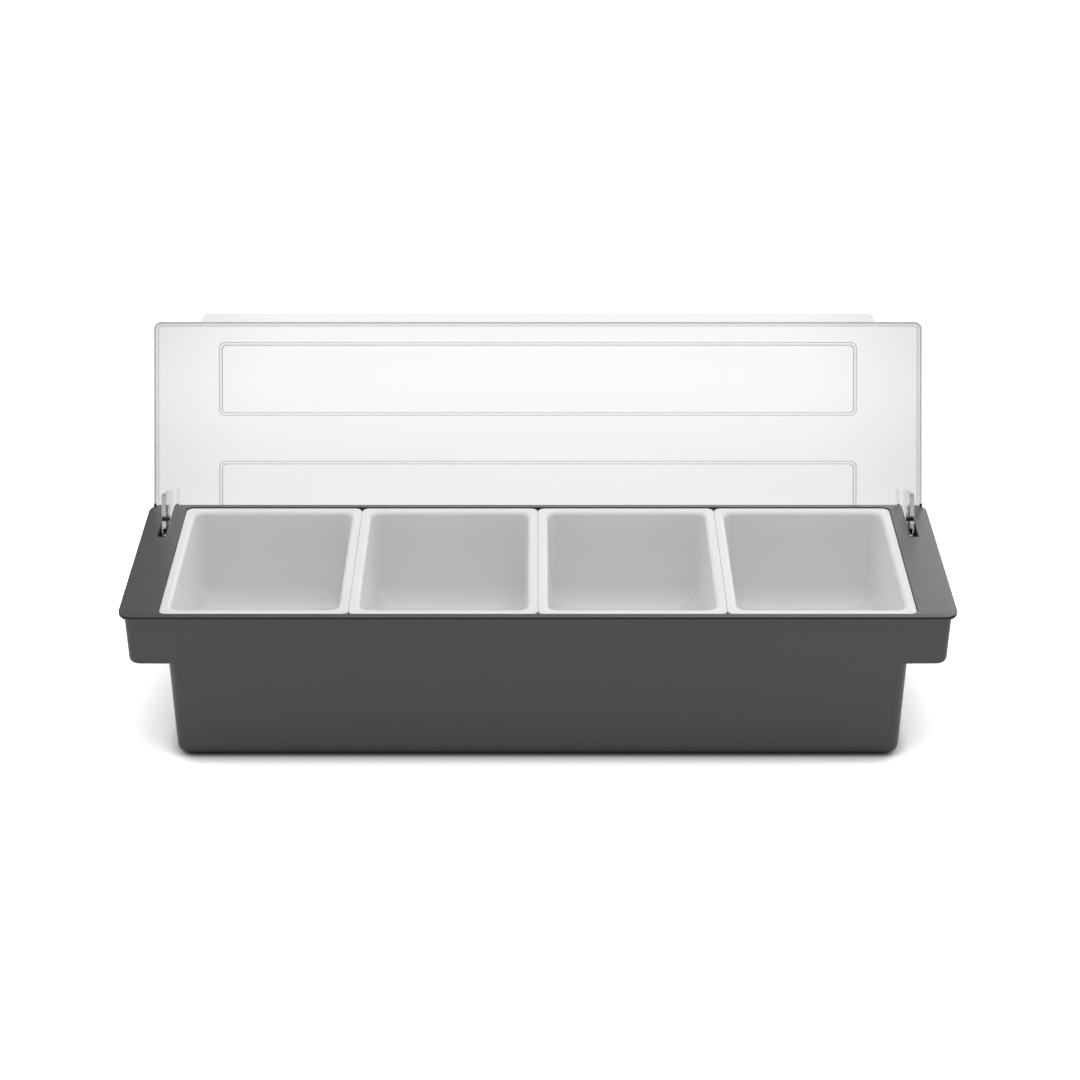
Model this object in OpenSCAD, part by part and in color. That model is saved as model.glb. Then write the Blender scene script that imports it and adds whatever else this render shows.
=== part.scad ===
/* [Deck] */
// Length of the deck, end to end
deck_w = 495; // [440:1:560]
// Depth of the deck, front to back
deck_d = 140; // [128:1:165]
// Thickness of the deck plate
deck_t = 3; // [2.6:0.1:3.6]
// How far the deck stands out over the long walls
long_over = 2.2; // [1.6:0.1:3]
// How far the deck stands out over the end walls
end_over = 3.7; // [2.5:0.1:6]
// Radius of the two front corners of the deck, seen from above
front_corner_r = 9; // [6:1.5:10.5]
// Radius of the two rear corners of the deck, seen from above
rear_corner_r = 8; // [4:0.5:10]
// Rounding along the top and bottom edge of the deck
edge_round = 0.9; // [0.4:0.1:1.1]

/* [Body] */
// Height from the table to the top of the deck
body_h = 102; // [90:1:125]
// Thickness of the moulded walls
wall_t = 1.9; // [1.6:0.1:2.2]
// Thickness of the trough's floor
floor_t = 3; // [2:0.5:6]
// Lean of the walls, in degrees
draft = 1; // [0.5:0.1:1.5]
// Radius of the body's upright corners
body_corner_r = 7; // [5:0.5:9]
// Radius along the bottom edge of the trough
bottom_round = 8; // [5:0.5:12]
// Width of the grip at each end, from the trough's wall to the end wall
grip_w = 22.8; // [20:0.1:26]
// Depth of the grips, from the top of the deck
grip_drop = 34; // [28:1:45]
// Rounding at the foot of the grips
grip_round = 3; // [1:0.5:4]
// Radius of the shoulders' upright corners
grip_corner_r = 3.5; // [2:0.5:7]

/* [Insert seats] */
// Width of the deck strip in front of the inserts, and behind them
strip_w = 3.9; // [3.4:0.1:5]
// Width of the seat under the rims, at each end of the row
seat_w = 4.7; // [4.2:0.1:5.5]
// Thickness of the seat
seat_t = 2.2; // [1.6:0.1:3]
// How far the rims lie below the top of the deck
rim_sink = 0.65; // [0.2:0.05:1]
// Gap beside each rim
fit = 0.3; // [0.2:0.05:0.5]
// Gap between the insert walls and the seat
hang_gap = 0.3; // [0.25:0.05:0.6]

/* [Inserts] */
// Depth of an insert, from the top of its rim
insert_h = 66; // [50:1:78]
// Thickness of the rim
rim_t = 2.5; // [1.8:0.1:3.5]
// Thickness of the insert's walls and floor
insert_wall = 1.3; // [1:0.1:1.8]
// Lean of the insert walls, in degrees
pan_draft = 3; // [1:0.5:4]
// Radius of the rim's corners
rim_corner_r = 4.5; // [3:0.5:6]
// Radius of the upright corners inside an insert
pan_corner_r = 6; // [4:0.5:10]
// Radius between the walls and the floor inside an insert
pan_floor_r = 14; // [8:1:20]
// Rounding of the rim's outer edge
rim_round = 0.7; // [0.4:0.1:1.2]
// Rounding of the rim's inner edge
mouth_round = 2.4; // [1.2:0.1:2.8]

/* [Lid] */
// How far the lid's sides stand in from the ends of the deck
lid_inset = 2.5; // [1:0.5:5]
// How far the closed lid's front wall stands in from the front of the deck
lid_front_inset = 3.4; // [1:0.2:5]
// Thickness of the lid's sheet
lid_t = 2; // [1.5:0.1:2.5]
// Radius of the lid's front corners
lid_corner_r = 4.5; // [3:0.5:8]
// Rounding along the lid's upper edges
lid_round = 1.6; // [0.6:0.2:1.8]
// Gap between the closed lid's edge and the deck
lid_gap = 0.3; // [0.2:0.05:0.6]
// Angle that the lid opens through, in degrees
open_angle = 118; // [112:1:122]
// Width of the finger flange along the lid's front
flange_w = 428; // [300:1:432]
// How far the finger flange stands out
flange_out = 5.4; // [3:0.2:9]

/* [Raised panels] */
// Length of the raised panels
panel_w = 408.8; // [300:1:430]
// Depth of the front raised panel
panel_d = 47.4; // [30:0.2:50]
// Margin from the lid's front to the front raised panel
panel_margin = 12.1; // [9:0.1:16]
// Space between the two raised panels
panel_space = 28.6; // [20:0.2:36]
// Margin from the rear raised panel to the lid's rear edge
panel_rear = 6; // [5:0.2:10]
// Height of the raised panels
panel_rise = 1.8; // [1:0.1:2.5]
// Width of the slope round a raised panel
panel_slope = 2.4; // [1.6:0.1:3.5]
// Corner radius at the foot of a raised panel
panel_r = 4; // [3.6:0.2:6]
// Corner radius of a raised panel's flat top
panel_top_r = 2.6; // [1.4:0.2:3.4]

/* [Hinges] */
// Distance of the hinge pins from the rear edge of the deck
pin_back = 11.6; // [10.5:0.1:13]
// Depth of the hinge pins' centre below the top of the deck
pin_drop = 4; // [3.5:0.1:5]
// Diameter of the hinge pins
pin_d = 3.3; // [2.8:0.1:4]
// Room between a pin and the hook that holds it
pin_gap = 0.15; // [0.1:0.05:0.3]
// Distance from the end of the deck to a hook's slot
slot_side = 10.1; // [9:0.1:11]
// Width of the slots that the hooks stand in
slot_w = 5.3; // [4.8:0.1:6]
// Length of the slots, from the rear edge of the deck
slot_l = 43; // [38:1:50]
// How far a pin shows past its hook
pin_show = 0.3; // [0.1:0.1:1]
// Thickness of the hooks
hook_t = 2.8; // [2.4:0.1:3.2]
// Gap beside a hook, toward the end wall
hook_side = 0.4; // [0.3:0.05:0.6]
// How far a hook's heel reaches forward of its pin
hook_fore = 15.5; // [13:0.5:17]
// Distance of a hook's rear edge from the deck's rear edge
hook_back = 0.4; // [0.3:0.1:2]
// Distance of the hook's lower edge from its pin
hook_reach = 14; // [12.5:0.5:15]
// Slant of the hook's front edge
hook_slant = 3.2; // [1:0.2:5]
// Radius of the hook's lower rear corner
hook_r = 9; // [7:0.5:10]
// Size of the cut at the hook's heel
heel_cut = 2; // [1:0.5:3]
// Width of the hook's snap mouth
mouth_w = 2.9; // [2.5:0.1:3.2]
// Gap between the lid and what it passes or leans on
swing_gap = 0.45; // [0.35:0.05:0.8]
// Thickness of the stiffening rib beside each hook
rib_t = 1.4; // [1:0.1:2.5]
// Depth of that rib below the lid's sheet
rib_h = 6; // [4:0.5:7.5]
// Space between a hook and its rib
rib_space = 3.4; // [3:0.2:8]

/* [Hidden] */
$fn = 64;
corner_fn = 32;
slab = 0.01;
over = 1;
// Share of a tub's corner radius that is left at its floor
corner_share = 0.6;
housing_grey = [0.30, 0.30, 0.31];
pan_white = [0.93, 0.93, 0.92];
lid_clear = [0.88, 0.90, 0.92, 0.45];

// Body
wall_lean = tan(draft);
pan_lean = tan(pan_draft);
body_top = body_h - deck_t;
body_w = deck_w - 2 * end_over;
body_d = deck_d - 2 * long_over;
trough_w = body_w - 2 * grip_w;
cavity_w = trough_w - 2 * wall_t;
cavity_d = body_d - 2 * wall_t;
grip_floor = body_h - grip_drop;

// Seats and inserts
insert_count = 4;
seat_z = body_h - rim_sink - rim_t;
seat_under = seat_z - seat_t;
recess_w = cavity_w + 2 * seat_w;
recess_d = deck_d - 2 * strip_w;
row_w = recess_w - 2 * fit;
insert_w = (row_w - (insert_count - 1) * fit) / insert_count;
insert_d = recess_d - 2 * fit;
rim_over = seat_w - fit + hang_gap;
pan_w = insert_w - 2 * rim_over;
pan_d = insert_d - 2 * rim_over;
rim_top = body_h - rim_sink;

// Grips: hollow from below, with a step under the seat
pocket_in = trough_w / 2 - grip_drop * wall_lean;
pocket_step = recess_w / 2 + seat_t;
pocket_out = body_w / 2 - wall_t - grip_drop * wall_lean / 3;
pocket_d = body_d - 2 * (wall_t + grip_drop * wall_lean);

// Hinge, in the lid's own frame: the pin is the origin and the lid is closed
pin_y = deck_d / 2 - pin_back;
pin_z = body_h - pin_drop;
swing_r = norm([pin_back, pin_drop]);
sheet_z = swing_r + swing_gap;
tip_z = pin_drop + lid_gap;
wall_y = pin_back - long_over + swing_gap;
lid_rear = (sheet_z * sin(open_angle) - wall_y) / -cos(open_angle);
lid_front = deck_d - pin_back - lid_front_inset;
lid_w = deck_w - 2 * lid_inset;
slot_out = deck_w / 2 - slot_side;
hook_out = slot_out - hook_side;
hook_in = hook_out - hook_t;
pin_tip = hook_in - pin_show;
slot_in = slot_out - slot_w;
rib_x = hook_in - rib_space - rib_t;
flange_r = flange_out - lid_t / 2;
slot_drop = pin_drop + hook_reach + swing_gap;
front_panel_y = -lid_front + panel_margin + panel_d / 2;
rear_panel_fore = lid_front - panel_margin - panel_d - panel_space;
rear_panel_d = rear_panel_fore + lid_rear - panel_rear;
rear_panel_y = -rear_panel_fore + rear_panel_d / 2;

// A rectangle with round corners, about the origin
module round_rect(w, d, r) {
    square([w - 2 * r, d], center = true);
    square([w, d - 2 * r], center = true);
    for (x = [-1, 1], y = [-1, 1])
        translate([x * (w / 2 - r), y * (d / 2 - r)]) circle(r, $fn = corner_fn);
}

// The deck's outline: small front corners, larger rear corners
module deck_outline(inset) {
    for (x = [-1, 1]) {
        translate([x * (deck_w / 2 - front_corner_r), -deck_d / 2 + front_corner_r])
            circle(front_corner_r - inset, $fn = corner_fn);
        translate([x * (deck_w / 2 - rear_corner_r), deck_d / 2 - rear_corner_r])
            circle(rear_corner_r - inset, $fn = corner_fn);
    }
}

// A thin slice with round corners at height z
module slice(z, w, d, r) {
    translate([0, 0, z]) linear_extrude(slab) round_rect(w, d, r);
}

// A tub that narrows downward by its lean and rounds into its floor.
// The size is that of its top, at height top; the floor is at height base.
module tub(w, d, top, base, corner_r, floor_r, lean = wall_lean) {
    hull() {
        slice(top - slab, w, d, corner_r);
        for (a = [0:18:90]) {
            z = base + floor_r * (1 - sin(a));
            inset = (top - z) * lean + floor_r * (1 - cos(a));
            slice(z, w - 2 * inset, d - 2 * inset, max(corner_r - inset, corner_r * corner_share));
        }
    }
}

module deck_plate() {
    hull() {
        for (z = [body_top, body_h - slab])
            translate([0, 0, z]) linear_extrude(slab) deck_outline(edge_round);
        for (z = [body_top + edge_round * 0.3, body_h - edge_round * 0.3])
            translate([0, 0, z]) linear_extrude(slab) deck_outline(edge_round * 0.3);
        for (z = [body_top + edge_round, body_h - edge_round])
            translate([0, 0, z]) linear_extrude(slab) deck_outline(0);
    }
}

// The long box between the deck and the foot of the grips
module grip_block() {
    shrink = 2 * grip_drop * wall_lean;
    hull() {
        slice(body_top, body_w, body_d, grip_corner_r);
        slice(grip_floor + grip_round, body_w - shrink, body_d - shrink, grip_corner_r);
        slice(grip_floor, body_w - shrink - 2 * grip_round, body_d - shrink, grip_corner_r);
    }
}

module trough_block() {
    tub(trough_w, body_d, body_top + slab, 0, body_corner_r, bottom_round);
}

module trough_space() {
    tub(cavity_w, cavity_d, seat_under, floor_t, body_corner_r - wall_t, bottom_round - wall_t);
}

// The recess for the rims, and the opening that the inserts hang through
module insert_recess() {
    translate([0, 0, seat_z]) linear_extrude(rim_t + rim_sink + over)
        round_rect(recess_w, recess_d, rim_corner_r + fit);
    translate([0, 0, seat_under - slab]) linear_extrude(seat_t + over)
        round_rect(cavity_w, pan_d + 2 * hang_gap, body_corner_r - wall_t);
}

// The hollow of the right grip, open from below
module grip_pocket() {
    for (part = [[pocket_in, seat_under], [pocket_step, body_top]])
        translate([part[0], -pocket_d / 2, grip_floor - over])
            cube([pocket_out - part[0], pocket_d, part[1] - grip_floor + over]);
}

// The slot for the right hook: through the deck, and down through the rear wall
module hinge_slot() {
    translate([slot_in, deck_d / 2 - slot_l, body_top - over])
        cube([slot_w, slot_l + over, deck_t + 2 * over]);
    translate([slot_in, pocket_d / 2 - over, body_h - slot_drop])
        cube([slot_w, deck_d, slot_drop + over]);
}

// The right hinge pin, standing inward from the end wall
module hinge_pin() {
    translate([pin_tip, pin_y, pin_z]) rotate([0, 90, 0])
        cylinder(d = pin_d, h = pocket_out - pin_tip + over);
}

module housing() {
    color(housing_grey) {
        difference() {
            union() {
                deck_plate();
                grip_block();
                trough_block();
            }
            trough_space();
            insert_recess();
            for (side = [0, 1]) mirror([side, 0, 0]) {
                grip_pocket();
                hinge_slot();
            }
        }
        for (side = [0, 1]) mirror([side, 0, 0]) hinge_pin();
    }
}

// One insert: a rim that hangs on the seat, and a pan with a rounded mouth
module insert(place) {
    inner_w = pan_w - 2 * insert_wall;
    inner_d = pan_d - 2 * insert_wall;
    pan_base = rim_top - insert_h;
    color(pan_white)
    translate([(place - (insert_count + 1) / 2) * (insert_w + fit), 0, 0])
    difference() {
        union() {
            hull() {
                slice(rim_top - rim_t, insert_w, insert_d, rim_corner_r);
                for (a = [0:45:90]) {
                    inset = rim_round * (1 - cos(a));
                    slice(rim_top - slab - rim_round * (1 - sin(a)), insert_w - 2 * inset,
                        insert_d - 2 * inset, rim_corner_r - inset);
                }
            }
            tub(pan_w, pan_d, rim_top - rim_t / 2, pan_base, pan_corner_r + insert_wall,
                pan_floor_r + insert_wall, pan_lean);
        }
        tub(inner_w, inner_d, rim_top, pan_base + insert_wall, pan_corner_r, pan_floor_r, pan_lean);
        mouth(inner_w, inner_d);
    }
}

// The rounded inner edge of an insert's rim, as rings of slopes that lap over each other
module mouth(w, d) {
    step = 30;
    lap = 0.6;
    for (a = [0:step:90 - step]) {
        foot = mouth_round * [1 - cos(a), sin(a) - 1];
        head = mouth_round * [1 - cos(a + step), sin(a + step) - 1];
        hull() for (p = [foot - lap * (head - foot), head + lap * (head - foot)])
            slice(rim_top + p[1], w + 2 * p[0], d + 2 * p[0], pan_corner_r + p[0]);
    }
}

// The lid's outline seen from above, with round front corners; it ends rear past the sheet's end
module lid_outline(inset, rear) {
    front = lid_front - inset;
    half = lid_w / 2 - inset;
    r = max(lid_corner_r - inset, 1);
    translate([-half, -front + r]) square([2 * half, front - r + lid_rear + rear]);
    translate([-half + r, -front]) square([2 * (half - r), r]);
    for (x = [-1, 1])
        translate([x * (half - r), -front + r]) circle(r, $fn = corner_fn);
}

// The finger flange along the lid's front
module flange_outline() {
    hull() {
        for (x = [-1, 1])
            translate([x * (flange_w / 2 - flange_r), -lid_front - flange_out + flange_r])
                circle(flange_r, $fn = corner_fn);
        translate([-flange_w / 2, -lid_front]) square([flange_w, lid_t / 2]);
    }
}

// A raised panel's body: the slope's foot is at height z
module raised_panel(y, d, z) {
    hull() {
        translate([0, y, 0]) slice(z, panel_w, d, panel_r);
        translate([0, y, 0])
            slice(z + panel_rise, panel_w - 2 * panel_slope, d - 2 * panel_slope, panel_top_r);
    }
}

// Where the lid's walls would meet the deck on the way to its open place
module swing_relief() {
    rotate([90, 0, 90]) linear_extrude(lid_w + 2 * over, center = true) intersection() {
        circle(swing_r + swing_gap / 2, $fn = 96);
        rotate(open_angle)
            translate([-2 * swing_r, -3 * swing_r])
                square([4 * swing_r, 3 * swing_r + tip_z]);
    }
}

// The sheet and its turned-down walls, open at the rear
module lid_shell() {
    difference() {
        union() {
            hull() {
                translate([0, 0, tip_z]) linear_extrude(slab) lid_outline(0, 0);
                for (a = [0:30:90])
                    translate([0, 0, sheet_z + lid_t - slab - lid_round * (1 - sin(a))])
                        linear_extrude(slab) lid_outline(lid_round * (1 - cos(a)), 0);
            }
            translate([0, 0, tip_z]) linear_extrude(lid_t) flange_outline();
        }
        translate([0, 0, tip_z - over]) linear_extrude(sheet_z - tip_z + over)
            lid_outline(lid_t, lid_t);
    }
}

// The stiffening rib inboard of the right hook
module hook_rib() {
    translate([rib_x, -hook_fore - hook_slant, sheet_z - rib_h])
        cube([rib_t, hook_fore + hook_slant, rib_h + lid_t / 2]);
}

// The right hook: a plate with a snap mouth that opens downward when closed
module hook() {
    hole_d = pin_d + 2 * pin_gap;
    hook_aft = pin_back - hook_back;
    translate([hook_in, 0, 0]) rotate([90, 0, 90]) linear_extrude(hook_t) difference() {
        union() {
            polygon([[-hook_fore - hook_slant, sheet_z + lid_t / 2],
                     [-hook_fore, heel_cut - hook_reach], [heel_cut - hook_fore, -hook_reach],
                     [hook_aft - hook_r, -hook_reach], [hook_aft, hook_r - hook_reach],
                     [hook_aft, sheet_z / 4], [lid_rear, sheet_z + lid_t / 2]]);
            translate([hook_aft - hook_r, hook_r - hook_reach]) circle(hook_r);
        }
        circle(d = hole_d);
        translate([-mouth_w / 2, -hook_reach - over]) square([mouth_w, hook_reach + over]);
    }
}

// The lid at rest stands open, leaning back
module lid() {
    color(lid_clear)
    translate([0, pin_y, pin_z]) rotate([-open_angle, 0, 0]) {
        difference() {
            union() {
                lid_shell();
                raised_panel(front_panel_y, panel_d, sheet_z + lid_t - slab);
                raised_panel(rear_panel_y, rear_panel_d, sheet_z + lid_t - slab);
                for (side = [0, 1]) mirror([side, 0, 0]) hook_rib();
            }
            raised_panel(front_panel_y, panel_d, sheet_z - slab);
            raised_panel(rear_panel_y, rear_panel_d, sheet_z - slab);
            swing_relief();
        }
        for (side = [0, 1]) mirror([side, 0, 0]) hook();
    }
}

housing();
lid();
insert(1);  // insert_1
insert(2);  // insert_2
insert(3);  // insert_3
insert(4);  // insert_4
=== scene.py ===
# %% [markdown]
# # A condiment caddy with a clear lid
#
# The object is a serving piece from a bar or a buffet: a dark moulded trough that holds ice,
# four white inserts that hang in it side by side, and one clear lid on snap hinges. The CAD
# model gives the sizes, the bodies and the joints. This script dresses it: it builds each
# moulded piece with round edges, gives each its plastic, and sets camera, floor and light.

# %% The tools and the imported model
from math import cos, pi, radians, sin, tan

import bpy
from mathutils import Matrix, Vector


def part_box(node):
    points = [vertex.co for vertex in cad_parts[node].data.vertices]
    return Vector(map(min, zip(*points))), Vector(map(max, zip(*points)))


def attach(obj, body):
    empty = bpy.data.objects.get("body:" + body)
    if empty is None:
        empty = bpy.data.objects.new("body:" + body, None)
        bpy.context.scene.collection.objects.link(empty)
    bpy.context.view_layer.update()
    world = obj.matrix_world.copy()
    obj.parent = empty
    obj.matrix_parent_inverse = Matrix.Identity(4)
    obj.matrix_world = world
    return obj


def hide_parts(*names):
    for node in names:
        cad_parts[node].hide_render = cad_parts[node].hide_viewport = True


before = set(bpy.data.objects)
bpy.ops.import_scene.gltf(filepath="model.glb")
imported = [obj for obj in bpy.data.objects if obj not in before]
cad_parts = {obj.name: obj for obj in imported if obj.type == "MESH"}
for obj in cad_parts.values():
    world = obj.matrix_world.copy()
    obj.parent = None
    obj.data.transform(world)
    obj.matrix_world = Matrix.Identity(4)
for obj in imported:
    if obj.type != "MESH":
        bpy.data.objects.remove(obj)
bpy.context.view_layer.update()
for node in sorted(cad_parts):
    low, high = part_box(node)
    print(node, "spans", [round((b - a) * 1000, 1) for a, b in zip(low, high)], "mm")

# %% [markdown]
# ## Camera
#
# A product photographer stands back and uses a long lens, so that the front and the rear of a
# long object look almost equally wide. The place of the camera was worked out from the deck:
# its front edge, its rear edge and its height in the picture fix the distance and the angle.

# %% The camera
PITCH_DEG = 29.08
camera_data = bpy.data.cameras.new("camera")
camera_data.lens = 77.62
camera_data.sensor_width = 36
camera_data.shift_x = 0.0019
camera = bpy.data.objects.new("camera", camera_data)
camera.location = (0, -1.2417, 0.8053)
camera.rotation_euler = (radians(90 - PITCH_DEG), 0, 0)
bpy.context.scene.collection.objects.link(camera)
bpy.context.scene.camera = camera
bpy.context.scene.view_settings.view_transform = "Standard"
print("camera looks down by", PITCH_DEG, "degrees with a lens of", camera_data.lens, "mm")

# %% [markdown]
# ## Rings and lofts
#
# Moulded plastic is made of round rectangles that change size with height: a wall leans a
# little so that the piece leaves the mould, and every corner has a radius. So one helper
# gives a ring of points at a height, and another skins a list of rings into a closed solid.
# All sizes are in millimetres here, as on the mould's drawing, and become metres in the mesh.

# %% Helpers: a ring, a loft
MM = 0.001
LEAN, PAN_LEAN = tan(radians(1)), tan(radians(3))


def ring(w, d, z, front_r, rear_r=None, y=0.0, steps=8):
    """Points round a rectangle with round corners, counter-clockwise seen from above."""
    rear_r = front_r if rear_r is None else rear_r
    corners = ((1, 1, rear_r, 0), (-1, 1, rear_r, 90), (-1, -1, front_r, 180), (1, -1, front_r, 270))
    points = []
    for sx, sy, r, start in corners:
        for i in range(steps + 1):
            a = radians(start + 90 * i / steps)
            points.append((sx * (w / 2 - r) + r * cos(a), y + sy * (d / 2 - r) + r * sin(a), z))
    return points


def loft(name, rings):
    """A closed solid through the rings, with a flat face on the first and the last."""
    n = len(rings[0])
    points = [Vector(p) * MM for r in rings for p in r]
    faces = [tuple(reversed(range(n)))]
    for k in range(len(rings) - 1):
        for i in range(n):
            j = (i + 1) % n
            faces.append((k * n + i, k * n + j, k * n + n + j, k * n + n + i))
    faces.append(tuple(range(len(points) - n, len(points))))
    mesh = bpy.data.meshes.new(name)
    mesh.from_pydata(points, [], faces)
    piece = bpy.data.objects.new(name, mesh)
    bpy.context.scene.collection.objects.link(piece)
    return piece


def quarter(steps):
    """Pairs (across, up) along a quarter circle of radius 1, from its foot to its side."""
    return [(1 - sin(pi / 2 * i / steps), 1 - cos(pi / 2 * i / steps)) for i in range(steps + 1)]


print("a quarter round in 6 steps turns", 90 / 6, "degrees a step")

# %% [markdown]
# Holes and joined pieces come from boolean modifiers, which are then applied. Smooth shading
# with weighted normals keeps the large flat faces flat, while the small rounds catch light.
# The exact solver needs closed solids with no face of zero area, so rings that would lie on
# one another are set a hair apart where they are listed below.

# %% Helpers: cut, join and shade


def block(name, low, high):
    """A plain box for cutting, between two corners."""
    w, d = high[0] - low[0], high[1] - low[1]
    piece = loft(name, [ring(w, d, z, 0.01, steps=1) for z in (low[2], high[2])])
    middle = [(a + b) / 2 * MM for a, b in zip(low, high)]
    piece.data.transform(Matrix.Translation((middle[0], middle[1], 0)))
    return piece


def apply_modifiers(piece):
    """Turns what the modifiers show into the piece's own mesh."""
    bpy.context.view_layer.update()
    graph = bpy.context.evaluated_depsgraph_get()
    mesh = bpy.data.meshes.new_from_object(piece.evaluated_get(graph))
    piece.modifiers.clear()
    piece.data = mesh


def carve(piece, operation, tools):
    """Cuts the tools from the piece, or joins them to it, one after another."""
    for tool in tools:
        step = piece.modifiers.new(operation, "BOOLEAN")
        step.operation = operation
        step.solver = "EXACT"
        step.object = tool
    apply_modifiers(piece)
    for tool in tools:
        bpy.data.objects.remove(tool)


def shade(piece, sharp_deg=30):
    """Smooth shading, with edges sharper than an angle kept sharp."""
    piece.data.shade_smooth()
    piece.data.set_sharp_from_angle(angle=radians(sharp_deg))
    weights = piece.modifiers.new("flat faces stay flat", "WEIGHTED_NORMAL")
    weights.keep_sharp = True
    weights.weight = 100
    apply_modifiers(piece)
    print(piece.name, "has", len(piece.data.polygons), "faces")


# %% [markdown]
# ## The housing
#
# The housing is one moulding: a deep trough with a broad deck on top and a hollow grip at each
# end. Its whole skin, outside and inside, is one loft. It starts under the floor, climbs the
# trough's wall, steps out to the shoulders and the deck, rounds the deck's edge, steps down to
# the seats for the inserts and ends on the floor inside.

# %% The housing's skin
DECK_W, DECK_D, DECK_T, BODY_H = 495, 140, 3, 102
FRONT_R, REAR_R, EDGE, TOP_EDGE = 9, 8, 0.9, 0.45
LIP_SIDE, LIP_FRONT = 3.7, 2.2
BODY_TOP = BODY_H - DECK_T
BODY_W, BODY_D, BODY_R, FOOT_ROUND = DECK_W - 2 * LIP_SIDE, DECK_D - 2 * LIP_FRONT, 7, 8
GRIP_W, GRIP_DROP, GRIP_ROUND, GRIP_R, WALL, FLOOR = 22.8, 34, 3, 3.5, 1.9, 3
TROUGH_W = BODY_W - 2 * GRIP_W
GRIP_FLOOR = BODY_H - GRIP_DROP
RIM_T, RIM_SINK, SEAT_T, SEAT_W, STRIP = 2.5, 0.65, 2.2, 4.7, 3.9
SEAT_Z = BODY_H - RIM_SINK - RIM_T
RECESS_W, RECESS_D = TROUGH_W - 2 * WALL + 2 * SEAT_W, DECK_D - 2 * STRIP
FIT, HANG_GAP, INSERT_COUNT = 0.3, 0.3, 4
INSERT_W = (RECESS_W - (INSERT_COUNT + 1) * FIT) / INSERT_COUNT
INSERT_D = RECESS_D - 2 * FIT
RIM_OVER = SEAT_W - FIT + HANG_GAP
PAN_W, PAN_D = INSERT_W - 2 * RIM_OVER, INSERT_D - 2 * RIM_OVER


def wall_ring(w, d, top, z, r, inset=0.0, lean=LEAN):
    """A ring of a wall that leans in below its top."""
    inset = inset + (top - z) * lean
    return ring(w - 2 * inset, d - 2 * inset, z, max(r - inset, r * 0.6))


GROOVE, GROOVE_Z, ROLL, BORDER, HAIR = 0.9, (1.55, 1.45, 0.75), 0.25, (5.5, 3.5), 0.04
BORDER_FRONT_R, BORDER_REAR_R = FRONT_R - 4, REAR_R - 4


def deck_ring(inset, z):
    """A ring of the deck's edge, inset from its widest outline."""
    return ring(DECK_W - 2 * inset, DECK_D - 2 * inset, z, FRONT_R - inset, REAR_R - inset)


# Outside: the trough from its foot to the shoulders' height
skin = [
    wall_ring(TROUGH_W, BODY_D, BODY_TOP, FOOT_ROUND * up, BODY_R, FOOT_ROUND * across)
    for across, up in quarter(8)
]
skin.append(wall_ring(TROUGH_W, BODY_D, BODY_TOP, GRIP_FLOOR, BODY_R))
# The shoulders, a hair less deep than the trough whose front and rear they share
for across, up in quarter(5):
    z = GRIP_FLOOR + GRIP_ROUND * up
    inset = (BODY_TOP - z) * LEAN
    skin.append(ring(BODY_W - 2 * (inset + GRIP_ROUND * across), BODY_D - 2 * inset - HAIR, z, GRIP_R))
skin.append(ring(BODY_W, BODY_D - HAIR, BODY_TOP, GRIP_R))
# The deck's edge: a round below, a groove under the top, a round above, a border that rises
skin += [deck_ring(EDGE * across, BODY_TOP + EDGE * up) for across, up in quarter(6)]
for inset, below in zip((0, GROOVE, GROOVE), GROOVE_Z):
    skin.append(deck_ring(inset, BODY_H - below))
for across, up in quarter(6):
    skin.append(deck_ring(TOP_EDGE * up, BODY_H - ROLL - TOP_EDGE * across))
border_w, border_d = BORDER
skin.append(ring(DECK_W - 2 * border_w, DECK_D - 2 * border_d, BODY_H, BORDER_FRONT_R, BORDER_REAR_R))
# Inside: the recess with its soft edge, the seats and the ice space
RECESS_EDGE, RECESS_R, SEAT_R, ICE_ROUND = 0.25, 4.8, 5.1, 6.1
for across, up in quarter(3):
    grow = 2 * RECESS_EDGE * (1 - up)
    z = BODY_H - RECESS_EDGE * (1 - across)
    skin.append(ring(RECESS_W + grow, RECESS_D + grow, z, RECESS_R + RECESS_EDGE - RECESS_EDGE * up))
skin.append(ring(RECESS_W, RECESS_D, SEAT_Z, RECESS_R))
CAVITY_W, CAVITY_D = TROUGH_W - 2 * WALL, BODY_D - 2 * WALL
for z in (SEAT_Z, SEAT_Z - SEAT_T):
    skin.append(ring(CAVITY_W - HAIR, PAN_D + 2 * HANG_GAP, z, SEAT_R))
skin.append(ring(CAVITY_W, CAVITY_D, SEAT_Z - SEAT_T, SEAT_R))
for across, up in reversed(quarter(6)):
    z = FLOOR + ICE_ROUND * up
    skin.append(wall_ring(CAVITY_W, CAVITY_D, SEAT_Z - SEAT_T, z, SEAT_R, ICE_ROUND * across))
housing = loft("housing_moulding", skin)
print("the housing's skin has", len(skin), "rings of", len(skin[0]), "points")

# %% [markdown]
# Each grip is a hollow that fingers reach from below. Each hinge slot runs from the rear edge
# of the deck forward and down through the rear wall, so that a hook of the lid can swing in
# it, and a short pin stands in the slot from the end wall.

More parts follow.
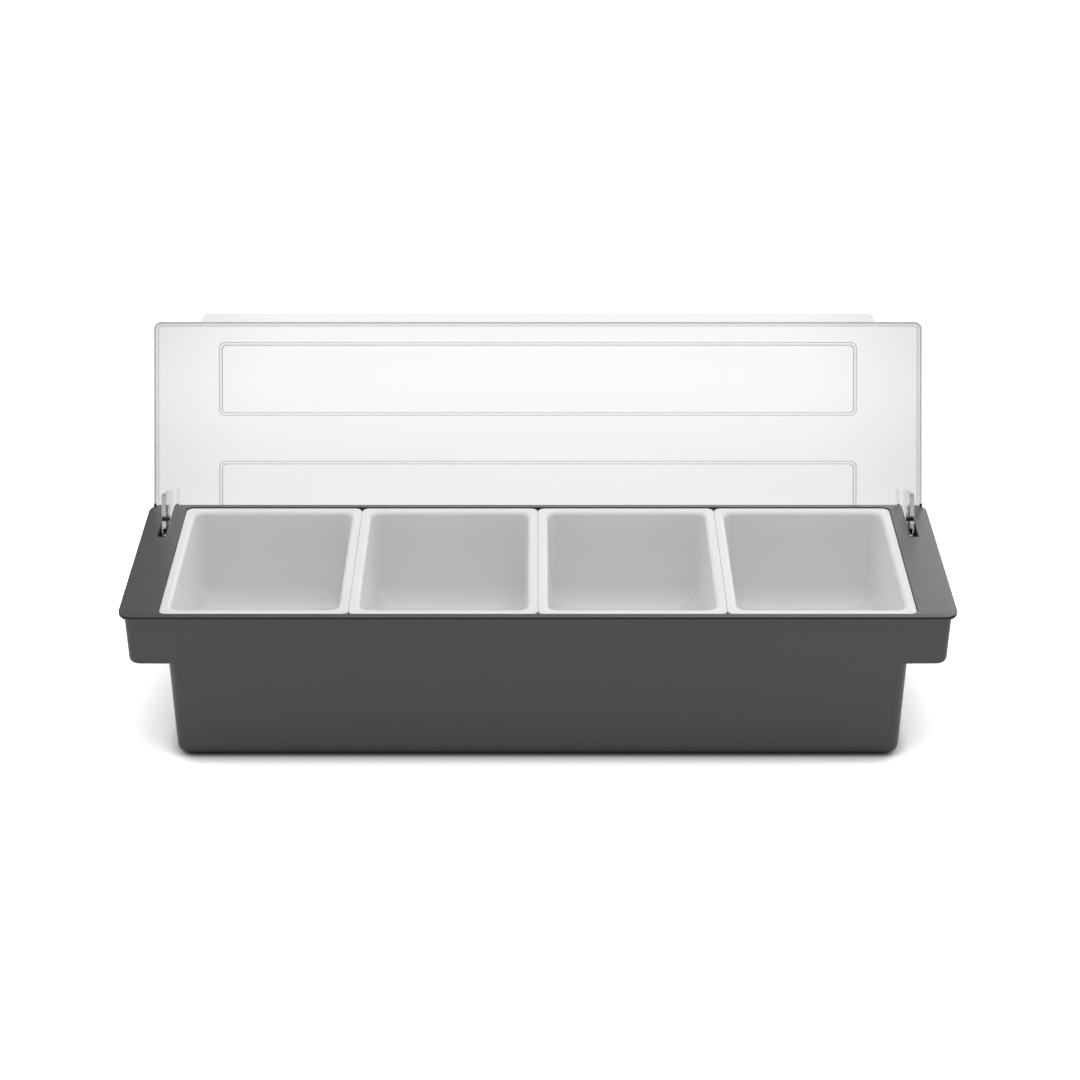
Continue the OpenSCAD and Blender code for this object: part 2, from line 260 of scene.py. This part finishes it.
# %% Grips, slots and pins
POCKET_OUT = BODY_W / 2 - WALL - GRIP_DROP * LEAN / 3
POCKET_IN = TROUGH_W / 2 - GRIP_DROP * LEAN
POCKET_Y = BODY_D / 2 - WALL - GRIP_DROP * LEAN
PIN_BACK, PIN_DROP, PIN_D, PIN_PAST = 11.6, 4, 3.3, 0.3
PIN_Y, PIN_Z = DECK_D / 2 - PIN_BACK, BODY_H - PIN_DROP
HOOK_T, HOOK_SIDE, HOOK_REACH, SWING_GAP = 2.8, 0.4, 14, 0.45
SLOT_SIDE, SLOT_W, SLOT_FORE = 10.1, 5.3, 43
SLOT_OUT = DECK_W / 2 - SLOT_SIDE
SLOT_IN = SLOT_OUT - SLOT_W
PIN_TIP = SLOT_OUT - HOOK_SIDE - HOOK_T - PIN_PAST
cutters, pins = [], []
for side in (-1, 1):
    for x0, x1, low, high, y0, y1 in (
        (POCKET_IN, POCKET_OUT, GRIP_FLOOR - 2, SEAT_Z - SEAT_T, -POCKET_Y, POCKET_Y),
        (RECESS_W / 2 + SEAT_T, POCKET_OUT, GRIP_FLOOR - 2, BODY_TOP, -POCKET_Y, POCKET_Y),
        (SLOT_IN, SLOT_OUT, BODY_TOP - 1, BODY_H + 2, DECK_D / 2 - SLOT_FORE, DECK_D),
        (SLOT_IN, SLOT_OUT, PIN_Z - HOOK_REACH - SWING_GAP, BODY_H + 2, POCKET_Y - 1, DECK_D),
    ):
        a, b = sorted((side * x0, side * x1))
        cutters.append(block("cutter", (a, y0, low), (b, y1, high)))
    ends = (PIN_TIP, POCKET_OUT + 1)
    pin = loft("pin", [ring(PIN_D, PIN_D, z, PIN_D / 2 - 0.001, steps=6) for z in ends])
    pin.data.transform(
        Matrix.Translation((0, PIN_Y * MM, PIN_Z * MM)) @ Matrix.Rotation(side * pi / 2, 4, "Y")
    )
    pins.append(pin)
carve(housing, "DIFFERENCE", cutters)
carve(housing, "UNION", pins)
shade(housing)
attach(housing, "housing")
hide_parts("housing")

# %% [markdown]
# ## The inserts
#
# Each insert is a deep pan with a flat rim, moulded in white. The rim rests on the seats, and
# its inner edge is a soft round that runs down into the pan. The four are the same, so one
# list of rings, inside and outside, gives all of them.

# %% The four inserts
RIM_TOP, INSERT_H, INSERT_WALL = BODY_H - RIM_SINK, 66, 1.3
PAN_R, PAN_FLOOR_R, PAN_FOOT_R, MOUTH_R, RIM_R, RIM_EDGE = 6, 14, 15.3, 2.4, 4.5, 0.45
RIM_W = INSERT_W + 0.2
PAN_BASE = RIM_TOP - INSERT_H
INNER_W, INNER_D = PAN_W - 2 * INSERT_WALL, PAN_D - 2 * INSERT_WALL

pan = []
for across, up in quarter(8):
    z = PAN_BASE + PAN_FOOT_R * up
    inset = PAN_FOOT_R * across
    pan.append(wall_ring(PAN_W, PAN_D, RIM_TOP - RIM_T, z, PAN_R + INSERT_WALL, inset, PAN_LEAN))
pan.append(ring(PAN_W, PAN_D, RIM_TOP - RIM_T, PAN_R + INSERT_WALL))
pan.append(ring(RIM_W, INSERT_D, RIM_TOP - RIM_T, RIM_R))
for across, up in quarter(4):
    inset = RIM_EDGE * up
    z = RIM_TOP - RIM_EDGE * across
    pan.append(ring(RIM_W - 2 * RIM_EDGE * up, INSERT_D - 2 * RIM_EDGE * up, z, RIM_R - inset))
for across, up in reversed(quarter(6)):
    grow = MOUTH_R * up
    z = RIM_TOP - MOUTH_R * across
    pan.append(ring(INNER_W + 2 * grow, INNER_D + 2 * grow, z, PAN_R + grow))
for across, up in reversed(quarter(10)):
    z = PAN_BASE + INSERT_WALL + PAN_FLOOR_R * up
    inset = PAN_FLOOR_R * across
    pan.append(wall_ring(INNER_W, INNER_D, RIM_TOP - MOUTH_R, z, PAN_R, inset, PAN_LEAN))
inserts = []
for number in range(1, INSERT_COUNT + 1):
    x = (number - (INSERT_COUNT + 1) / 2) * (INSERT_W + FIT)
    rings = [[(px + x, py, pz) for px, py, pz in r] for r in pan]
    insert = loft(f"insert_moulding_{number}", rings)
    shade(insert)
    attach(insert, f"insert_{number}")
    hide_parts(f"insert_{number}")
    inserts.append(insert)
print("each insert is", round(INSERT_W, 1), "by", round(INSERT_D, 1), "mm at the rim")

# %% [markdown]
# ## The lid
#
# The lid is a thin clear sheet with three turned-down walls, a finger flange in front, and two
# raised panels that stiffen it. It is easiest to build closed, about its own hinge pin, and to
# turn it open at the end. The panels rise on a soft slope, so their lofts follow an S-curve.

# %% The lid's shell and panels
OPEN_DEG, LID_T, LID_W, LID_R = 118, 2, DECK_W - 5, 4.5
SWING_R = (PIN_BACK**2 + PIN_DROP**2) ** 0.5
SHEET_Z = SWING_R + SWING_GAP
TIP_Z = PIN_DROP + 0.3
LID_FRONT = DECK_D - PIN_BACK - 3.4
# Open, the sheet's rear edge hangs a swing gap behind the body's rear wall
REAR_STOP = PIN_BACK - LIP_FRONT + SWING_GAP
LID_REAR = (SHEET_Z * sin(radians(OPEN_DEG)) - REAR_STOP) / -cos(radians(OPEN_DEG))


def lid_ring(inset, z, rear=0.0, steps=6):
    """The lid's outline: round in front, square at the rear."""
    y0, y1 = -LID_FRONT + inset, LID_REAR + rear
    return ring(LID_W - 2 * inset, y1 - y0, z, max(LID_R - inset, 1), 0.01, (y0 + y1) / 2, steps)


TOP_R, TIP_R, INNER_R = 0.7, 0.3, 0.8
top_z = SHEET_Z + LID_T
shell = [lid_ring(TIP_R * across, TIP_Z + TIP_R * up) for across, up in quarter(3)]
shell += [lid_ring(TOP_R * up, top_z - TOP_R * across) for across, up in quarter(6)]
lid = loft("lid_moulding", shell)
hollow = [lid_ring(LID_T, TIP_Z - 1, 5)]
hollow += [lid_ring(LID_T + INNER_R * up, SHEET_Z - INNER_R * across, 5) for across, up in quarter(4)]
carve(lid, "DIFFERENCE", [loft("hollow", hollow)])

PANEL_W, PANEL_D, PANEL_SLOPE, PANEL_R = 408.8, 47.4, 2.4, 4
PANEL_MARGIN, PANEL_SPACE, PANEL_REAR, SLOPE_STEPS = 12.1, 28.6, 6, 20
front_panel = (-LID_FRONT + PANEL_MARGIN + PANEL_D / 2, PANEL_D)
rear_fore = LID_FRONT - PANEL_MARGIN - PANEL_D - PANEL_SPACE
rear_d = rear_fore + LID_REAR - PANEL_REAR
rear_panel = (-rear_fore + rear_d / 2, rear_d)


def soft_step(t):
    """An S-curve from 0 to 1."""
    t = min(max(t, 0), 1)
    return t * t * (3 - 2 * t)


def panel_rise(inset):
    """How high a panel stands at a distance from its foot: a step, a slope, a second step."""
    middle = min(max((inset - 0.35) / 1.8, 0), 1)
    return 0.6 * soft_step(inset / 0.7) + 0.35 * middle + 0.85 * soft_step((inset - 1.7) / 0.7)


def raised(name, y, d, z):
    """A panel that rises from height z."""
    rings = [ring(PANEL_W, d, z - 0.5, PANEL_R, y=y)]
    for i in range(SLOPE_STEPS + 1):
        inset = PANEL_SLOPE * i / SLOPE_STEPS
        top = z + panel_rise(inset) + 0.001 * (i > 0)
        rings.append(ring(PANEL_W - 2 * inset, d - 2 * inset, top, PANEL_R - 0.6 * inset, y=y))
    return loft(name, rings)


carve(lid, "UNION", [raised("panel", y, d, top_z) for y, d in (front_panel, rear_panel)])
carve(lid, "DIFFERENCE", [raised("dish", y, d, SHEET_Z) for y, d in (front_panel, rear_panel)])
print("the lid is", LID_W, "by", round(LID_FRONT + LID_REAR, 1), "mm")

# %% [markdown]
# The flange gives fingers a hold. Each hook is a flat plate whose mouth snaps over a pin, with
# a thin rib beside it. The walls are cut back at the rear by the circle that the deck's edge
# draws about the pin, or the lid would jam on its way to the open place.

# %% Flange, ribs and hooks
FLANGE_W, FLANGE_OUT, FLANGE_R, FLANGE_EDGE = 428, 5.4, 4.4, 0.6
HOOK_FORE, SLANT, HOOK_R, HEEL, HOOK_BACK = 15.5, 3.2, 9, 2, 0.4
RIB_T, RIB_GAP, RIB_DEPTH, MOUTH_HALF, BORE = 1.4, 3.4, 6, 1.45, 0.3


def flange_ring(inset, z):
    """The flange's outline, whose rear lies inside the lid's front wall."""
    y0, y1 = -LID_FRONT - FLANGE_OUT + inset, -LID_FRONT + LID_T / 2
    return ring(FLANGE_W - 2 * inset, y1 - y0, z, FLANGE_R - inset, 0.01, (y0 + y1) / 2)


flange = [flange_ring(FLANGE_EDGE * across, TIP_Z + FLANGE_EDGE * up) for across, up in quarter(4)]
for across, up in quarter(4):
    flange.append(flange_ring(FLANGE_EDGE * up, TIP_Z + LID_T - FLANGE_EDGE * across))


def plate(name, outline, x0, x1):
    """A plate that stands along X, from an outline of (y, z) points."""
    return loft(name, [[(x, y, z) for y, z in outline] for x in (x0, x1)])


def soften(piece, width_mm):
    """Rounds the sharp edges of a piece a little."""
    bevel = piece.modifiers.new("soft edges", "BEVEL")
    bevel.width = width_mm * MM
    bevel.segments = 2
    bevel.limit_method = "ANGLE"
    bevel.angle_limit = radians(40)
    apply_modifiers(piece)


def arc(y, z, r, start, end, steps=12):
    """Points (y, z) along an arc, between two angles in degrees."""
    turns = [radians(start + (end - start) * i / steps) for i in range(steps + 1)]
    return [(y + r * cos(turn), z + r * sin(turn)) for turn in turns]


HOOK_AFT = PIN_BACK - HOOK_BACK
hook_outline = [
    (-HOOK_FORE - SLANT, SHEET_Z + LID_T / 2),
    (-HOOK_FORE, HEEL - HOOK_REACH),
    (HEEL - HOOK_FORE, -HOOK_REACH),
    *arc(HOOK_AFT - HOOK_R, HOOK_R - HOOK_REACH, HOOK_R, -90, 0),
    (HOOK_AFT, SHEET_Z / 4),
    (LID_REAR, SHEET_Z + LID_T / 2),
]
HOOK_OUT = SLOT_OUT - HOOK_SIDE
HOOK_IN = HOOK_OUT - HOOK_T
RIB_X = HOOK_IN - RIB_GAP - RIB_T

# The circle that the deck's edge draws, only where the open lid reaches below the deck's top
swing = arc(0, 0, SWING_R + SWING_GAP / 2, 0, 345, 23)
relief = plate("relief", swing, -LID_W, LID_W)
keep = block("keep", (-2 * LID_W, -40, TIP_Z), (2 * LID_W, 40, 60))
keep.data.transform(Matrix.Rotation(radians(OPEN_DEG), 4, "X"))
carve(relief, "DIFFERENCE", [keep])
ribs = [
    block("rib", (x, -HOOK_FORE - SLANT, SHEET_Z - RIB_DEPTH), (x + RIB_T, 0, SHEET_Z + 1))
    for x in (RIB_X, -RIB_X - RIB_T)
]
carve(lid, "UNION", [loft("flange", flange)] + ribs)
carve(lid, "DIFFERENCE", [relief])
for side in (1, -1):
    x0, x1 = sorted((side * HOOK_IN, side * HOOK_OUT))
    hook = plate("hook", hook_outline, x0, x1)
    hole = plate("hole", arc(0, 0, (PIN_D + BORE) / 2, 0, 345, 23), x0 - 1, x1 + 1)
    mouth = block("mouth", (x0 - 1, -MOUTH_HALF, -HOOK_REACH - 1), (x1 + 1, MOUTH_HALF, 0))
    carve(hook, "DIFFERENCE", [hole, mouth])
    soften(hook, 0.3)
    carve(lid, "UNION", [hook])
lid.data.transform(
    Matrix.Translation((0, PIN_Y * MM, PIN_Z * MM)) @ Matrix.Rotation(radians(-OPEN_DEG), 4, "X")
)
shade(lid)
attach(lid, "lid")
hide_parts("lid")

# %% [markdown]
# ## Effects that the plastics share
#
# Moulded plastic is never quite even. Its skin has a fine grain from the mould, and handling
# leaves faint smudges that change the gloss. Each effect is a small shader node group with
# named inputs, built once, so that each plastic can take its own amount.

# %% The grain of a mould and the marks of handling


def new_group(name, inputs, outputs):
    """A shader node group with named inputs and outputs."""
    group = bpy.data.node_groups.new(name, "ShaderNodeTree")
    for label, default in inputs:
        socket = group.interface.new_socket(label, in_out="INPUT", socket_type="NodeSocketFloat")
        socket.default_value = default
    for label, kind in outputs:
        group.interface.new_socket(label, in_out="OUTPUT", socket_type=kind)
    ins = group.nodes.new("NodeGroupInput")
    outs = group.nodes.new("NodeGroupOutput")
    return group, ins, outs


def add(tree, kind, **settings):
    """A new node with its settings."""
    node = tree.nodes.new(kind)
    for key, value in settings.items():
        setattr(node, key, value)
    return node


grain_group, ins, outs = new_group(
    "mould_grain", [("Size mm", 0.4), ("Depth", 1)], [("Height", "NodeSocketFloat")]
)
place = add(grain_group, "ShaderNodeTexCoord")
count = add(grain_group, "ShaderNodeMath", operation="DIVIDE")
count.inputs[0].default_value = 1000
noise = add(grain_group, "ShaderNodeTexNoise")
noise.inputs["Detail"].default_value = 3
depth = add(grain_group, "ShaderNodeMath", operation="MULTIPLY")
link = grain_group.links.new
link(ins.outputs["Size mm"], count.inputs[1])
link(place.outputs["Object"], noise.inputs["Vector"])
link(count.outputs[0], noise.inputs["Scale"])
link(noise.outputs["Fac"], depth.inputs[0])
link(ins.outputs["Depth"], depth.inputs[1])
link(depth.outputs[0], outs.inputs["Height"])

marks_group, ins, outs = new_group(
    "handling_marks",
    [("Gloss", 0.3), ("Spread", 0.05), ("Shade spread", 0.04)],
    [("Roughness", "NodeSocketFloat"), ("Shade", "NodeSocketFloat")],
)
place = add(marks_group, "ShaderNodeTexCoord")
smudge = add(marks_group, "ShaderNodeTexNoise")
smudge.inputs["Scale"].default_value = 22
smudge.inputs["Detail"].default_value = 5
smudge.inputs["Roughness"].default_value = 0.62
centred = add(marks_group, "ShaderNodeMath", operation="SUBTRACT")
centred.inputs[1].default_value = 0.5
rough = add(marks_group, "ShaderNodeMath", operation="MULTIPLY_ADD")
cloud = add(marks_group, "ShaderNodeTexNoise")
cloud.inputs["Scale"].default_value = 6
cloud.inputs["Detail"].default_value = 2
cloud_centred = add(marks_group, "ShaderNodeMath", operation="SUBTRACT")
cloud_centred.inputs[1].default_value = 0.5
tone = add(marks_group, "ShaderNodeMath", operation="MULTIPLY_ADD")
tone.inputs[2].default_value = 1
link = marks_group.links.new
link(place.outputs["Object"], smudge.inputs["Vector"])
link(place.outputs["Object"], cloud.inputs["Vector"])
link(smudge.outputs["Fac"], centred.inputs[0])
link(centred.outputs[0], rough.inputs[0])
link(ins.outputs["Spread"], rough.inputs[1])
link(ins.outputs["Gloss"], rough.inputs[2])
link(rough.outputs[0], outs.inputs["Roughness"])
link(cloud.outputs["Fac"], cloud_centred.inputs[0])
link(cloud_centred.outputs[0], tone.inputs[0])
link(ins.outputs["Shade spread"], tone.inputs[1])
link(tone.outputs[0], outs.inputs["Shade"])
print("groups:", grain_group.name, "and", marks_group.name)

# %% [markdown]
# ## The three plastics
#
# The housing is a dark grey with a satin gloss, the inserts are a milky white, and the lid is
# clear. In a physically based material the colour stays simple, and the gloss comes from the
# roughness and from what the surface reflects.

# %% The plastics


def plastic(name, colour, gloss, spread, shade_spread, grain_mm, bump):
    """A plastic whose tone and roughness vary a little, with a fine grain."""
    material = bpy.data.materials.new(name)
    material.use_nodes = True
    tree = material.node_tree
    shader = tree.nodes["Principled BSDF"]
    marks = add(tree, "ShaderNodeGroup", node_tree=marks_group)
    marks.inputs["Gloss"].default_value = gloss
    marks.inputs["Spread"].default_value = spread
    marks.inputs["Shade spread"].default_value = shade_spread
    grain = add(tree, "ShaderNodeGroup", node_tree=grain_group)
    grain.inputs["Size mm"].default_value = grain_mm
    tone_and_painted_shade = add(tree, "ShaderNodeMix", data_type="RGBA", blend_type="MULTIPLY")
    tone_and_painted_shade.inputs["Factor"].default_value = 1
    tone_and_painted_shade.inputs["A"].default_value = (*colour, 1)
    bump_node = add(tree, "ShaderNodeBump")
    bump_node.inputs["Strength"].default_value = bump
    bump_node.inputs["Distance"].default_value = 0.0001
    tree.links.new(marks.outputs["Shade"], tone_and_painted_shade.inputs["B"])
    tree.links.new(tone_and_painted_shade.outputs["Result"], shader.inputs["Base Color"])
    tree.links.new(marks.outputs["Roughness"], shader.inputs["Roughness"])
    tree.links.new(grain.outputs["Height"], bump_node.inputs["Height"])
    tree.links.new(bump_node.outputs["Normal"], shader.inputs["Normal"])
    return material, shader


DARK_GREY, MILKY_WHITE, NO_COLOUR = (0.066, 0.066, 0.067), (0.9, 0.902, 0.9), (1, 1, 1)
housing_plastic, shader = plastic("housing_plastic", DARK_GREY, 0.3, 0.06, 0.08, 0.35, 0.12)
shader.inputs["IOR"].default_value = 1.5
insert_plastic, shader = plastic("insert_plastic", MILKY_WHITE, 0.32, 0.05, 0.02, 0.5, 0.06)
shader.inputs["IOR"].default_value = 1.5
# The index is lower than a real clear plastic's, which keeps the lid's reflections faint
clear_plastic, shader = plastic("clear_plastic", NO_COLOUR, 0.05, 0.03, 0.01, 0.8, 0.02)
shader.inputs["IOR"].default_value = 1.2
shader.inputs["Transmission Weight"].default_value = 1
# A little grey in the body shows where the way through is long, as along a hook
body = add(clear_plastic.node_tree, "ShaderNodeVolumeAbsorption")
body.inputs["Color"].default_value = (0.45, 0.47, 0.47, 1)
body.inputs["Density"].default_value = 50
output = clear_plastic.node_tree.nodes["Material Output"]
clear_plastic.node_tree.links.new(body.outputs["Volume"], output.inputs["Volume"])

# %% [markdown]
# Clear plastic looks darker where a wall or a slope is seen along its length, because the light
# has a longer way through it. Here that shade is painted into the lid's colour. The lid's sheet
# has one direction, so each point compares its own normal with the sheet's: faces that turn
# away from it take a painted grey shade.

# %% Painted shade on the lid's slopes and walls
tree = clear_plastic.node_tree
place = add(tree, "ShaderNodeTexCoord")
along = add(tree, "ShaderNodeVectorMath", operation="DOT_PRODUCT")
along.inputs[1].default_value = (0, sin(radians(OPEN_DEG)), cos(radians(OPEN_DEG)))
flat = add(tree, "ShaderNodeMath", operation="ABSOLUTE")
# The ramp is painted shade: darkest where a face slants from the sheet, a little grey on the walls,
# nearly clear on the flat sheet
painted_shade_ramp = add(tree, "ShaderNodeValToRGB")
stops = painted_shade_ramp.color_ramp.elements
stops[0].position, stops[0].color = 0.3, (0.86, 0.87, 0.87, 1)
stops[1].position, stops[1].color = 0.992, (0.968, 0.972, 0.972, 1)
painted_shade_stop = stops.new(0.56)
painted_shade_stop.color = (0.36, 0.366, 0.366, 1)
# The painted shade goes in where the lid's plain colour was
tone_and_painted_shade = next(n for n in tree.nodes if n.type == "MIX")
tree.links.new(place.outputs["Normal"], along.inputs[0])
tree.links.new(along.outputs["Value"], flat.inputs[0])
tree.links.new(flat.outputs[0], painted_shade_ramp.inputs["Fac"])
tree.links.new(painted_shade_ramp.outputs["Color"], tone_and_painted_shade.inputs["A"])

# %% [markdown]
# Cuts can leave two points on one spot, with a face of no area between them. A weld far
# smaller than any feature joins such points, and then each piece takes its plastic.

# %% The last weld, and the plastics on the pieces
WELD = 0.005
dressed = [(housing, housing_plastic), (lid, clear_plastic)]
dressed += [(insert, insert_plastic) for insert in inserts]
for piece, material in dressed:
    weld = piece.modifiers.new("weld", "WELD")
    weld.merge_threshold = WELD * MM
    apply_modifiers(piece)
    piece.data.materials.clear()
    piece.data.materials.append(material)
print("plastics:", housing_plastic.name, insert_plastic.name, clear_plastic.name)

# %% [markdown]
# ## Floor and light
#
# The photograph was taken on white, with soft light from all round. The world gives the even
# light and a large soft lamp above gives the shade. The floor has one strength for the light
# that it returns to the caddy, and others for what the camera, a reflection or the clear lid
# shows of it. Those were set by comparing renders with the photograph.

# %% The floor
floor_mesh = bpy.data.meshes.new("floor")
floor_mesh.from_pydata([(-9, -9, 0), (9, -9, 0), (9, 9, 0), (-9, 9, 0)], [], [(0, 1, 2, 3)])
floor = bpy.data.objects.new("floor", floor_mesh)
bpy.context.scene.collection.objects.link(floor)
floor_white = bpy.data.materials.new("floor_white")
floor_white.use_nodes = True
tree = floor_white.node_tree
tree.nodes.remove(tree.nodes["Principled BSDF"])
paint = add(tree, "ShaderNodeBsdfDiffuse")
rays = add(tree, "ShaderNodeLightPath")
place = add(tree, "ShaderNodeTexCoord")


def chain(tree, start, steps):
    """Mixes one value after another over the start, each by its own mask."""
    value = start
    for mask, amount in steps:
        mix = add(tree, "ShaderNodeMix", data_type="FLOAT")
        tree.links.new(mask, mix.inputs["Factor"])
        for socket, source in (("A", value), ("B", amount)):
            if isinstance(source, (int, float)):
                mix.inputs[socket].default_value = source
            else:
                tree.links.new(source, mix.inputs[socket])
        value = mix.outputs["Result"]
    return value


def soft_range(tree, source, low, high, a, b, curve="SMOOTHSTEP"):
    """A change from a to b while a value goes from low to high."""
    node = add(tree, "ShaderNodeMapRange", interpolation_type=curve)
    for socket, value in (("From Min", low), ("From Max", high), ("To Min", a), ("To Max", b)):
        node.inputs[socket].default_value = value
    tree.links.new(source, node.inputs["Value"])
    return node.outputs["Result"]


def calculate(tree, operation, *sources):
    """A value worked out from one or two others."""
    node = add(tree, "ShaderNodeMath", operation=operation)
    for socket, source in zip(node.inputs, sources):
        tree.links.new(source, socket)
    return node.outputs[0]


# Through the lid, the paper is palest in the middle and greyer to the sides and near the deck: a
# painted pool of light and painted shade
split = add(tree, "ShaderNodeSeparateXYZ")
tree.links.new(place.outputs["Object"], split.inputs[0])
side = calculate(tree, "ABSOLUTE", split.outputs["X"])
painted_light_pool = soft_range(tree, side, 0.2, 0.42, 1.36, 1.0)
painted_shade_near_deck = soft_range(tree, split.outputs["Y"], 0.27, 0.5, 0.845, 1)
white = chain(tree, 0.8, [
    (rays.outputs["Is Glossy Ray"], 1.5),
    (rays.outputs["Is Transmission Ray"], calculate(tree, "MULTIPLY", painted_light_pool, painted_shade_near_deck)),
    (rays.outputs["Is Camera Ray"], 2.6),
])
# Close to the caddy's foot the shadow is deeper
foot = add(tree, "ShaderNodeAmbientOcclusion", samples=16)
foot.inputs["Distance"].default_value = 0.015
deep = soft_range(tree, foot.outputs["AO"], 0.2, 0.85, 0.08, 1, "LINEAR")
tree.links.new(calculate(tree, "MULTIPLY", deep, white), paint.inputs["Color"])
tree.links.new(paint.outputs[0], tree.nodes["Material Output"].inputs["Surface"])
floor_mesh.materials.append(floor_white)
print("the floor has", len(tree.nodes), "nodes")

# %% [markdown]
# Reflections show the room: a bright wall behind and to the right of the caddy, which the deck
# mirrors, and a darker ceiling, which draws a thin dark line along each round edge.

# %% The world and the lamps
world = bpy.data.worlds.new("white_room")
bpy.context.scene.world = world
world.use_nodes = True
tree = world.node_tree
sky = tree.nodes["Background"]
rays = add(tree, "ShaderNodeLightPath")
place = add(tree, "ShaderNodeTexCoord")
split = add(tree, "ShaderNodeSeparateXYZ")
tree.links.new(place.outputs["Generated"], split.inputs[0])


def ramp_of(axis, low, high, a, b):
    """A soft change from a to b as a direction turns along an axis."""
    return soft_range(tree, split.outputs[axis], low, high, a, b)


# What a reflection shows, what the lid shows, and how far a direction points sideways
rear = ramp_of("Y", 0, 0.5, 0, 1)
behind = chain(tree, 0.9, [(rear, ramp_of("X", -0.25, 0.3, 0.45, 2.5))])
through = chain(tree, 0.9, [(rear, ramp_of("X", -0.25, 0.3, 1.3, 2.4))])
wall = calculate(tree, "MULTIPLY", behind, ramp_of("Z", 0.62, 0.88, 1, 0.1))
across = calculate(tree, "ABSOLUTE", split.outputs["X"])
sides = soft_range(tree, across, 0.2, 0.9, 0, 1)
strength = chain(tree, ramp_of("Y", -0.9, 0.6, 0.15, 0.58), [
    (sides, 0.72),
    (ramp_of("Z", 0, 0.25, 1, 0), 1.1),
    (rays.outputs["Is Glossy Ray"], wall),
    (rays.outputs["Is Transmission Ray"], through),
    (rays.outputs["Is Camera Ray"], 1.0),
])
tree.links.new(strength, sky.inputs["Strength"])
sky.inputs["Color"].default_value = (1, 1, 1, 1)


def softbox(name, place, target, size, watts):
    """A rectangular lamp that faces a target."""
    lamp = bpy.data.lights.new(name, "AREA")
    lamp.shape = "RECTANGLE"
    lamp.size, lamp.size_y = size
    lamp.energy = watts
    box = bpy.data.objects.new(name, lamp)
    box.location = place
    box.rotation_euler = (Vector(target) - Vector(place)).to_track_quat("-Z", "Y").to_euler()
    bpy.context.scene.collection.objects.link(box)


softbox("lamp_above", (0.05, 0.05, 1.6), (0, 0, 0.05), (1.2, 1), 8)

# %% [markdown]
# ## The end
#
# The dressed model should be as large as the CAD model; the last step brings the scene up to date.

# %% The end
bpy.context.view_layer.update()
